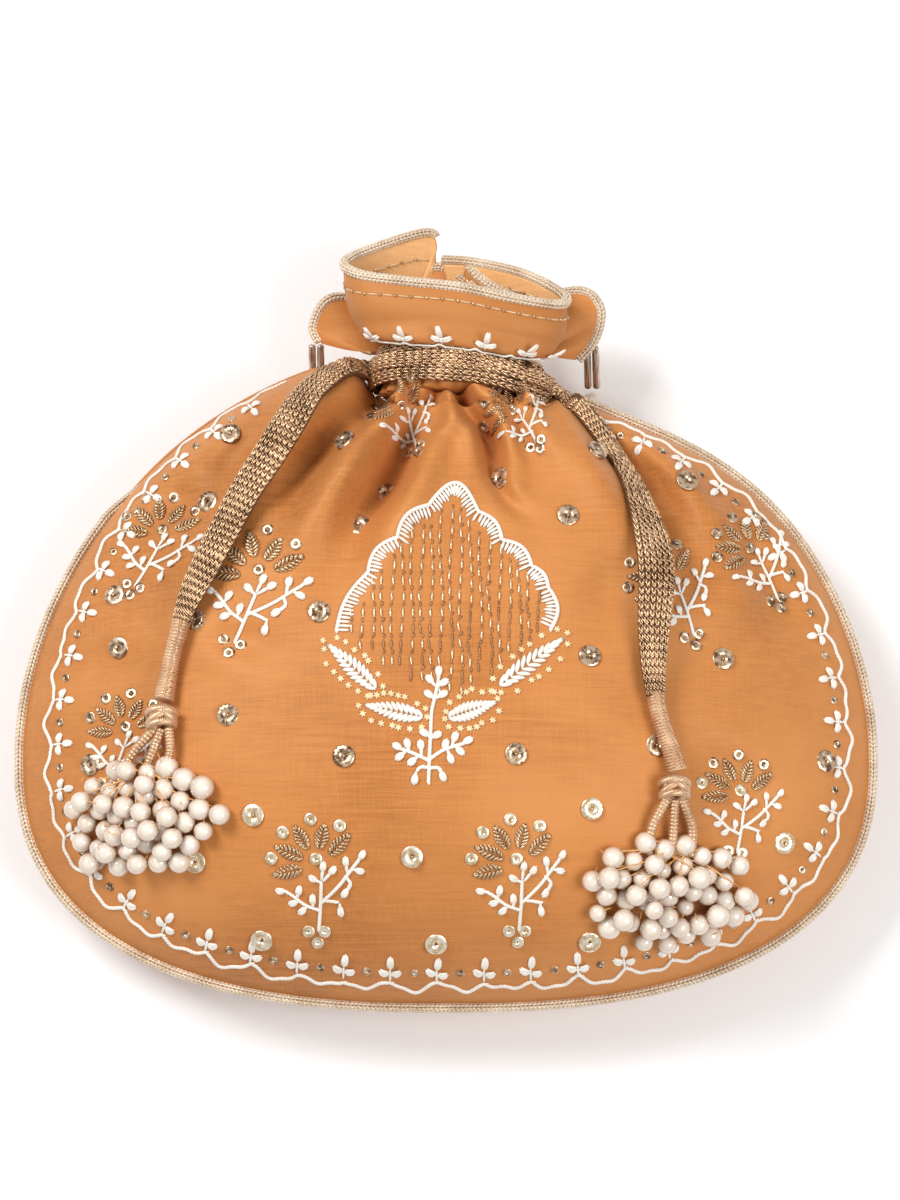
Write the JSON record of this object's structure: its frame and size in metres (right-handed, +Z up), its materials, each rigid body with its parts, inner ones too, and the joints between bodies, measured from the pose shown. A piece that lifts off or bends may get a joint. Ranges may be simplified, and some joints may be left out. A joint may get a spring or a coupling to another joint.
{
  "type": "potli bag",
  "caption": "Silk drawstring potli pouch lying on its back, with a gathered neck, ruffled mouth, knitted cords ending in pearl tassels, and a bead handle.",
  "frame": {"origin": "middle of the bag's box on the surface it lies on", "axes": "+Z up out of the front panel, +Y towards the ruffled mouth, +X to the right of the front panel"},
  "size_m": [0.2584, 0.2388, 0.078],
  "materials": {
    "silk": "satin",
    "gold_braid": "satin",
    "knitted_cord": "satin",
    "handle_thread": "satin",
    "wound_thread": "satin",
    "pearl": "gloss",
    "glass_bead": "gloss"
  },
  "bodies": {
    "root": {"pouch": "silk", "ruffle_front": "silk", "ruffle_back": "silk", "side_piping": "gold_braid", "ruffle_front_piping": "gold_braid", "ruffle_back_piping": "gold_braid", "neck_cord_upper": "knitted_cord", "neck_cord_lower": "knitted_cord", "left_drawstring_over": "knitted_cord", "left_drawstring_under": "knitted_cord", "right_drawstring_over": "knitted_cord", "right_drawstring_under": "knitted_cord", "handle_strand": "handle_thread", "left_cord_sleeve": "wound_thread", "right_cord_sleeve": "wound_thread", "left_tassel_knot": "wound_thread", "right_tassel_knot": "wound_thread", "left_tassel_tail_1": "wound_thread", "left_tassel_tail_2": "wound_thread", "left_tassel_tail_3": "wound_thread", "right_tassel_tail_1": "wound_thread", "right_tassel_tail_2": "wound_thread", "right_tassel_tail_3": "wound_thread", "left_pearls_1": "pearl", "left_pearls_2": "pearl", "left_pearls_3": "pearl", "left_pearls_4": "pearl", "right_pearls_1": "pearl", "right_pearls_2": "pearl", "right_pearls_3": "pearl", "right_pearls_4": "pearl", "handle_pearl_right": "pearl", "handle_bugle_left_1": "glass_bead", "handle_bugle_left_2": "glass_bead", "handle_bugle_right_1": "glass_bead", "handle_bugle_right_2": "glass_bead"}
  },
  "joints": []
}
